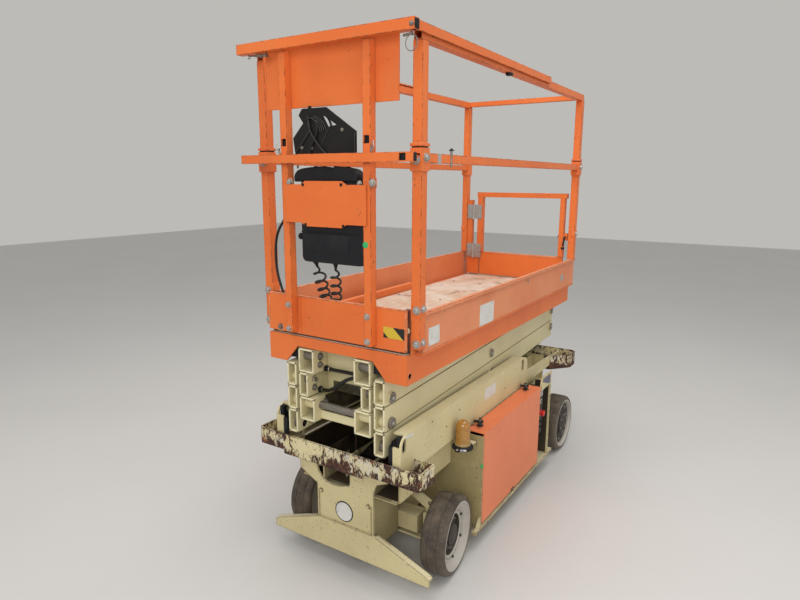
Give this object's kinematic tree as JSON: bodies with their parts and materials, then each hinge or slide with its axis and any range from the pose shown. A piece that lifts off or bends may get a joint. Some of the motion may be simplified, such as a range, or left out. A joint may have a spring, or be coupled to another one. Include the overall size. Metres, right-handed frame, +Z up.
{
  "type": "electric slab scissor lift with roll-out deck extension",
  "caption": "Narrow electric scissor lift: wheeled chassis, folding arm stack, railed work platform with a roll-out deck and an inward-swinging rear gate.",
  "frame": {"origin": "on the floor under the middle of the overall box", "axes": "+X ahead, towards the steered wheels; +Y the machine's left; +Z up"},
  "size_m": [1.872, 0.7902, 2.027],
  "materials": {
    "cream_paint": "semi-gloss cream enamel, chipped and rust-stained",
    "orange_paint": "semi-gloss orange enamel, scuffed",
    "steel": "dull zinc-plated steel",
    "black_plastic": "matt black moulded plastic",
    "black_metal": "satin black paint",
    "tyre": "dusty solid rubber",
    "rim_paint": "worn grey paint, dusty",
    "deck_board": "worn coated plywood",
    "amber_lens": "translucent amber lens",
    "red_plastic": "glossy red",
    "chrome_rod": "hard chrome",
    "cable_rubber": "matt black rubber cable"
  },
  "bodies": {
    "chassis": {"side_rails": "cream_paint", "front_column": "cream_paint", "front_guard": "cream_paint", "front_bumper": "cream_paint", "rear_bumper": "cream_paint", "rear_body": "cream_paint", "ladder": "cream_paint", "compartment_frames": "cream_paint", "battery_and_pump_blocks": "black_metal", "ground_controls": "black_plastic", "stop_button": "red_plastic", "beacon": "amber_lens", "front_axle": "cream_paint", "drive_motors": "black_metal", "lift_mounts": "cream_paint"},
    "knuckle_left": {"knuckle_left": "cream_paint"},
    "knuckle_right": {"knuckle_right": "cream_paint"},
    "wheel_front_left": {"tyre_front_left": "tyre", "rim_front_left": "rim_paint"},
    "wheel_front_right": {"tyre_front_right": "tyre", "rim_front_right": "rim_paint"},
    "wheel_rear_left": {"tyre_rear_left": "tyre", "rim_rear_left": "rim_paint"},
    "wheel_rear_right": {"tyre_rear_right": "tyre", "rim_rear_right": "rim_paint"},
    "battery_door_left": {"battery_door_left": "orange_paint", "door_latches_left": "black_plastic"},
    "battery_door_right": {"battery_door_right": "orange_paint", "door_latches_right": "black_plastic"},
    "inner_arms_1": {"inner_frame_1": "cream_paint", "front_cross_rod": "steel"},
    "inner_arms_2": {"inner_frame_2": "cream_paint"},
    "inner_arms_3": {"inner_frame_3": "cream_paint", "arm_hose": "cable_rubber"},
    "outer_arms_1": {"outer_arms_1": "cream_paint"},
    "outer_arms_2": {"outer_arms_2": "cream_paint"},
    "outer_arms_3": {"outer_arms_3": "cream_paint"},
    "slide_blocks_low": {"slide_blocks": "black_plastic"},
    "slide_blocks_high": {"top_slide_blocks": "black_plastic"},
    "lift_barrel": {"cylinder_barrel": "black_metal"},
    "lift_rod": {"cylinder_rod": "chrome_rod"},
    "platform": {"deck_frame": "orange_paint", "deck_floor": "deck_board", "side_toe_boards": "orange_paint", "main_posts": "orange_paint", "post_sleeves": "orange_paint", "main_rails": "orange_paint", "gate_hinge_leaves": "steel"},
    "gate": {"gate": "orange_paint", "gate_hinges": "steel"},
    "extension": {"extension_deck": "orange_paint", "extension_panels": "orange_paint", "extension_posts": "orange_paint", "extension_rails": "orange_paint", "control_box": "black_plastic", "control_bracket": "black_metal", "curly_cord_left": "cable_rubber", "curly_cord_right": "cable_rubber", "side_hose_front": "cable_rubber", "side_hose_rear": "cable_rubber"}
  },
  "joints": [
    {"name": "steer_left", "type": "hinge", "parent": "chassis", "child": "knuckle_left", "pos_m": [0.588, 0.262, 0.159], "axis": [0, 0, 1], "range_deg": [-66, 54]},
    {"name": "steer_right", "type": "hinge", "parent": "chassis", "child": "knuckle_right", "pos_m": [0.588, -0.262, 0.159], "axis": [0, 0, 1], "range_deg": [-66, 54]},
    {"name": "roll_front_left", "type": "hinge", "parent": "knuckle_left", "child": "wheel_front_left", "pos_m": [0.58115, 0.32714, 0.159], "axis": [-0.1045, 0.9945, 0], "continuous": true},
    {"name": "roll_front_right", "type": "hinge", "parent": "knuckle_right", "child": "wheel_front_right", "pos_m": [0.59485, -0.32714, 0.159], "axis": [-0.1045, 0.9945, 0], "continuous": true},
    {"name": "roll_rear_left", "type": "hinge", "parent": "chassis", "child": "wheel_rear_left", "pos_m": [-0.777, 0.3275, 0.159], "axis": [0, 1, 0], "continuous": true},
    {"name": "roll_rear_right", "type": "hinge", "parent": "chassis", "child": "wheel_rear_right", "pos_m": [-0.777, -0.3275, 0.159], "axis": [0, 1, 0], "continuous": true},
    {"name": "door_left", "type": "hinge", "parent": "chassis", "child": "battery_door_left", "pos_m": [0.025, 0.381, 0.102], "axis": [-1, 0, 0], "range_deg": [0, 90]},
    {"name": "door_right", "type": "hinge", "parent": "chassis", "child": "battery_door_right", "pos_m": [0.025, -0.381, 0.102], "axis": [1, 0, 0], "range_deg": [0, 90]},
    {"name": "lift", "type": "hinge", "parent": "chassis", "child": "inner_arms_1", "pos_m": [-0.886, 0, 0.605], "axis": [0, -1, 0], "range_deg": [0, 55]},
    {"name": "centre_pivot_1", "type": "hinge", "parent": "inner_arms_1", "child": "outer_arms_1", "pos_m": [-0.023, 0, 0.6535], "axis": [0, -1, 0], "range_deg": [-110, 0]},
    {"name": "slide_pivot_low", "type": "hinge", "parent": "outer_arms_1", "child": "slide_blocks_low", "pos_m": [0.84, 0, 0.605], "axis": [0, -1, 0], "range_deg": [0, 55]},
    {"name": "end_pivot_1", "type": "hinge", "parent": "outer_arms_1", "child": "inner_arms_2", "pos_m": [-0.886, 0, 0.702], "axis": [0, -1, 0], "range_deg": [0, 110]},
    {"name": "centre_pivot_2", "type": "hinge", "parent": "inner_arms_2", "child": "outer_arms_2", "pos_m": [-0.023, 0, 0.7505], "axis": [0, -1, 0], "range_deg": [-110, 0]},
    {"name": "end_pivot_2", "type": "hinge", "parent": "outer_arms_2", "child": "inner_arms_3", "pos_m": [-0.886, 0, 0.799], "axis": [0, -1, 0], "range_deg": [0, 110]},
    {"name": "centre_pivot_3", "type": "hinge", "parent": "inner_arms_3", "child": "outer_arms_3", "pos_m": [-0.023, 0, 0.8475], "axis": [0, -1, 0], "range_deg": [-110, 0]},
    {"name": "slide_pivot_high", "type": "hinge", "parent": "inner_arms_3", "child": "slide_blocks_high", "pos_m": [0.84, 0, 0.896], "axis": [0, -1, 0], "range_deg": [-55, 0]},
    {"name": "platform_pivot", "type": "hinge", "parent": "outer_arms_3", "child": "platform", "pos_m": [-0.886, 0, 0.896], "axis": [0, -1, 0], "range_deg": [0, 55]},
    {"name": "extension_slide", "type": "slide", "parent": "platform", "child": "extension", "axis": [1, 0, 0], "range_m": [0, 0.9]},
    {"name": "gate", "type": "hinge", "parent": "platform", "child": "gate", "pos_m": [-0.843, -0.274, 1.218], "axis": [0, 0, -1], "range_deg": [0, 90]},
    {"name": "cylinder_swing", "type": "hinge", "parent": "chassis", "child": "lift_barrel", "pos_m": [0.699, 0, 0.413], "axis": [0, 1, 0], "range_deg": [0, 25.87]},
    {"name": "cylinder_stroke", "type": "slide", "parent": "lift_barrel", "child": "lift_rod", "axis": [-0.9817, 0, 0.1904], "range_m": [0, 0.56651]}
  ],
  "couplings": [
    {"joint": "steer_right", "follows": "steer_left", "ratio": 1},
    {"joint": "centre_pivot_1", "follows": "lift", "ratio": -2},
    {"joint": "slide_pivot_low", "follows": "lift", "ratio": 1},
    {"joint": "end_pivot_1", "follows": "lift", "ratio": 2},
    {"joint": "centre_pivot_2", "follows": "lift", "ratio": -2},
    {"joint": "end_pivot_2", "follows": "lift", "ratio": 2},
    {"joint": "centre_pivot_3", "follows": "lift", "ratio": -2},
    {"joint": "slide_pivot_high", "follows": "lift", "ratio": -1},
    {"joint": "platform_pivot", "follows": "lift", "ratio": 1},
    {"joint": "cylinder_swing", "follows": "lift", "ratio": 0.47041},
    {"joint": "cylinder_stroke", "follows": "lift", "m_per_rad": 0.59014}
  ]
}
